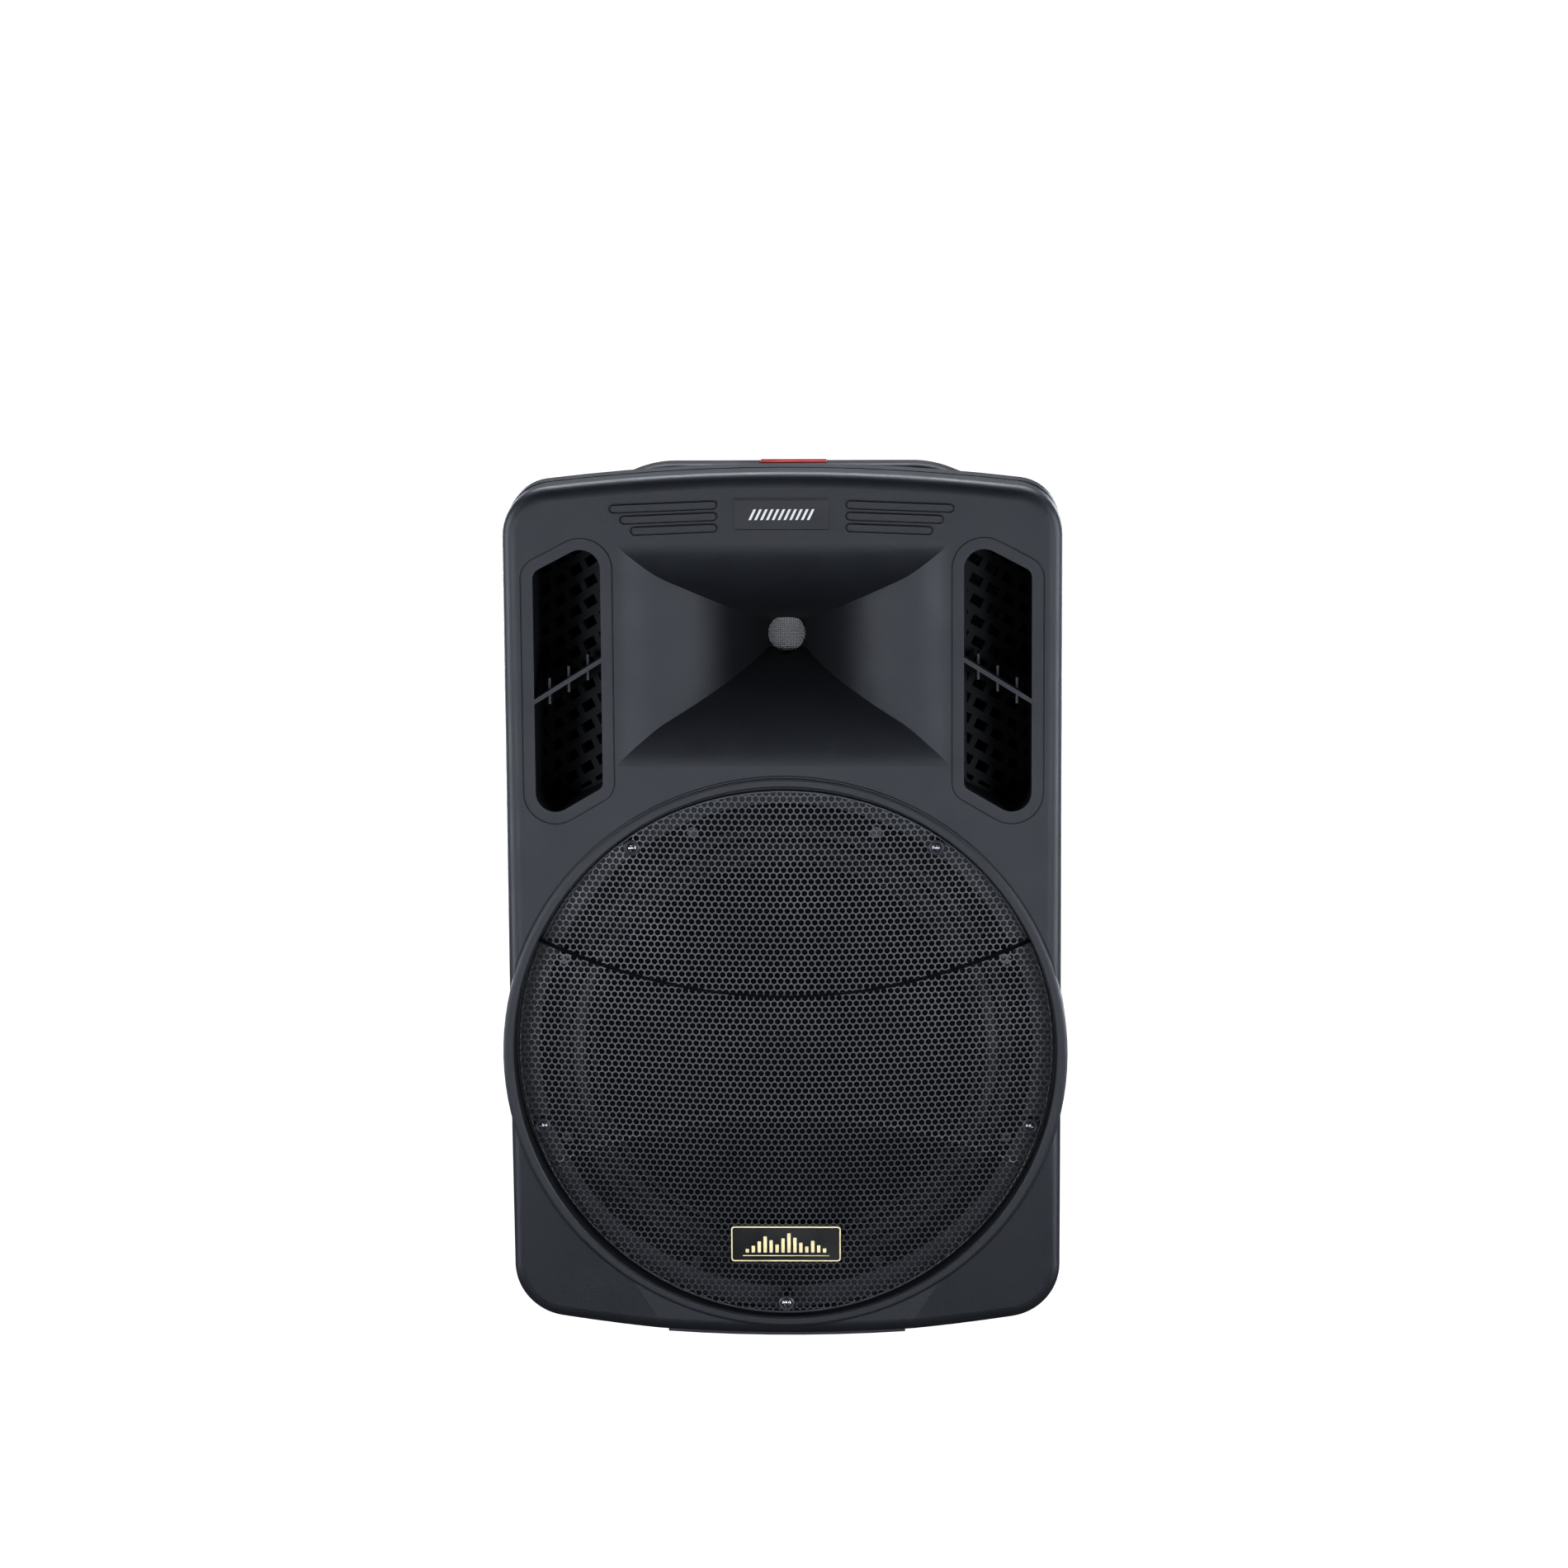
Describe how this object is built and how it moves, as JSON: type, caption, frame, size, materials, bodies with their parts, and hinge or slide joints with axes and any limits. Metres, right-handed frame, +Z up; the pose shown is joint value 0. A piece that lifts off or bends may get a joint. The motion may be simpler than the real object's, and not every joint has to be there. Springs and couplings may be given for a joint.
{
  "type": "pa speaker cabinet",
  "caption": "Moulded loudspeaker cabinet with a round bowed grille, rectangular horn, slanted ports, rear amplifier panel, pull-out trolley handle and wheels.",
  "frame": {"origin": "on the floor under the middle of the cabinet's overall box", "axes": "+Z up, the front faces -Y, +X to the right of someone who faces the front"},
  "size_m": [0.4344, 0.375, 0.6774],
  "materials": {
    "cabinet_plastic": "grained moulded ABS, matt",
    "gasket_rubber": "matt",
    "black_screw": "black zinc, satin",
    "grille_steel": "perforated steel, black powder coat, satin",
    "badge_metal": "gold edge on a black field",
    "plate_plastic": "satin black film",
    "basket_steel": "black paint",
    "cone_paper": "coated paper pulp, matt",
    "spider_cloth": "resin-dipped woven cloth",
    "copper": "wound copper wire",
    "zinc_steel": "zinc plated",
    "ferrite": "fired ferrite, dull",
    "driver_housing": "satin",
    "screen_mesh": "woven wire",
    "port_plastic": "matt",
    "circuit_board": "solder mask",
    "heatsink_alloy": "extruded",
    "transformer_iron": "varnished laminations",
    "battery_case": "matt",
    "panel_fitting": "satin",
    "panel_steel": "fine textured powder coat",
    "light_lens": "tinted lens",
    "display_glass": "tinted window",
    "socket_alloy": "powder coat",
    "foot_rubber": "matt",
    "handle_plastic": "satin",
    "tube_steel": "black powder coat",
    "tube_chrome": "polished",
    "button_red": "satin red",
    "wheel_plastic": "satin",
    "tyre_rubber": "matt",
    "knob_plastic": "satin with white pointer",
    "switch_plastic": "gloss black",
    "key_plastic": "grey"
  },
  "bodies": {
    "cabinet": {"front_baffle": "cabinet_plastic", "rear_shell": "cabinet_plastic", "seam_gasket": "gasket_rubber", "shell_screws": "black_screw", "speaker_grille": "grille_steel", "grille_screws": "black_screw", "grille_badge": "badge_metal", "name_plate": "plate_plastic", "woofer_basket": "basket_steel", "woofer_surround": "gasket_rubber", "woofer_cone": "cone_paper", "woofer_dust_cap": "cone_paper", "woofer_spider": "spider_cloth", "woofer_voice_coil": "copper", "woofer_top_plate": "zinc_steel", "woofer_magnet": "ferrite", "woofer_yoke": "zinc_steel", "woofer_screws": "black_screw", "compression_driver": "driver_housing", "throat_screen": "screen_mesh", "port_lattice_left": "port_plastic", "port_lattice_right": "port_plastic", "crossover_board": "circuit_board", "amp_board": "circuit_board", "amp_heatsink": "heatsink_alloy", "power_transformer": "transformer_iron", "battery": "battery_case", "battery_strap": "zinc_steel", "mains_inlet": "panel_fitting", "input_jacks": "panel_fitting", "amp_panel": "panel_steel", "panel_screws": "black_screw", "status_lights": "light_lens", "media_player": "panel_fitting", "media_display": "display_glass", "pole_socket": "socket_alloy", "pole_socket_screws": "black_screw", "feet": "foot_rubber", "top_handle": "handle_plastic", "trolley_outer_tubes": "tube_steel", "trolley_guides": "port_plastic", "wheel_axle": "zinc_steel", "axle_caps": "wheel_plastic"},
    "trolley": {"trolley_inner_tubes": "tube_chrome", "trolley_grip": "handle_plastic"},
    "release_button": {"release_button": "button_red"},
    "wheel_left": {"wheel_hub_left": "wheel_plastic", "tyre_left": "tyre_rubber"},
    "wheel_right": {"wheel_hub_right": "wheel_plastic", "tyre_right": "tyre_rubber"},
    "mic_volume_knob": {"mic_volume_knob": "knob_plastic"},
    "line_volume_knob": {"line_volume_knob": "knob_plastic"},
    "bass_knob": {"bass_knob": "knob_plastic"},
    "treble_knob": {"treble_knob": "knob_plastic"},
    "master_volume_knob": {"master_volume_knob": "knob_plastic"},
    "power_switch": {"power_switch": "switch_plastic"},
    "battery_switch": {"battery_switch": "switch_plastic"},
    "previous_button": {"previous_button": "key_plastic"},
    "play_button": {"play_button": "key_plastic"},
    "next_button": {"next_button": "key_plastic"}
  },
  "joints": [
    {"name": "trolley_slide", "type": "slide", "parent": "cabinet", "child": "trolley", "axis": [0, 0, 1], "range_m": [0, 0.34]},
    {"name": "release_press", "type": "slide", "parent": "trolley", "child": "release_button", "axis": [0, 0, -1], "range_m": [0, 0.003], "stiffness_N_per_m": 900, "springref_m": -0.002},
    {"name": "wheel_left_spin", "type": "hinge", "parent": "cabinet", "child": "wheel_left", "pos_m": [-0.203, 0.1385, 0.051], "axis": [1, 0, 0], "continuous": true},
    {"name": "wheel_right_spin", "type": "hinge", "parent": "cabinet", "child": "wheel_right", "pos_m": [0.203, 0.1385, 0.051], "axis": [1, 0, 0], "continuous": true},
    {"name": "mic_volume_turn", "type": "hinge", "parent": "cabinet", "child": "mic_volume_knob", "pos_m": [-0.06, 0.1485, 0.43], "axis": [0, 1, 0], "range_deg": [0, 300]},
    {"name": "line_volume_turn", "type": "hinge", "parent": "cabinet", "child": "line_volume_knob", "pos_m": [-0.02, 0.1485, 0.43], "axis": [0, 1, 0], "range_deg": [0, 300]},
    {"name": "bass_turn", "type": "hinge", "parent": "cabinet", "child": "bass_knob", "pos_m": [0.02, 0.1485, 0.43], "axis": [0, 1, 0], "range_deg": [0, 300]},
    {"name": "treble_turn", "type": "hinge", "parent": "cabinet", "child": "treble_knob", "pos_m": [0.06, 0.1485, 0.43], "axis": [0, 1, 0], "range_deg": [0, 300]},
    {"name": "master_volume_turn", "type": "hinge", "parent": "cabinet", "child": "master_volume_knob", "pos_m": [0, 0.1485, 0.38], "axis": [0, 1, 0], "range_deg": [0, 300]},
    {"name": "power_switch_rock", "type": "hinge", "parent": "cabinet", "child": "power_switch", "pos_m": [0.026, 0.1405, 0.25], "axis": [1, 0, 0], "range_deg": [0, 20]},
    {"name": "battery_switch_rock", "type": "hinge", "parent": "cabinet", "child": "battery_switch", "pos_m": [0.062, 0.1405, 0.25], "axis": [1, 0, 0], "range_deg": [0, 20]},
    {"name": "previous_press", "type": "slide", "parent": "cabinet", "child": "previous_button", "axis": [0, -1, 0], "range_m": [0, 0.0015], "stiffness_N_per_m": 400},
    {"name": "play_press", "type": "slide", "parent": "cabinet", "child": "play_button", "axis": [0, -1, 0], "range_m": [0, 0.0015], "stiffness_N_per_m": 400},
    {"name": "next_press", "type": "slide", "parent": "cabinet", "child": "next_button", "axis": [0, -1, 0], "range_m": [0, 0.0015], "stiffness_N_per_m": 400}
  ]
}
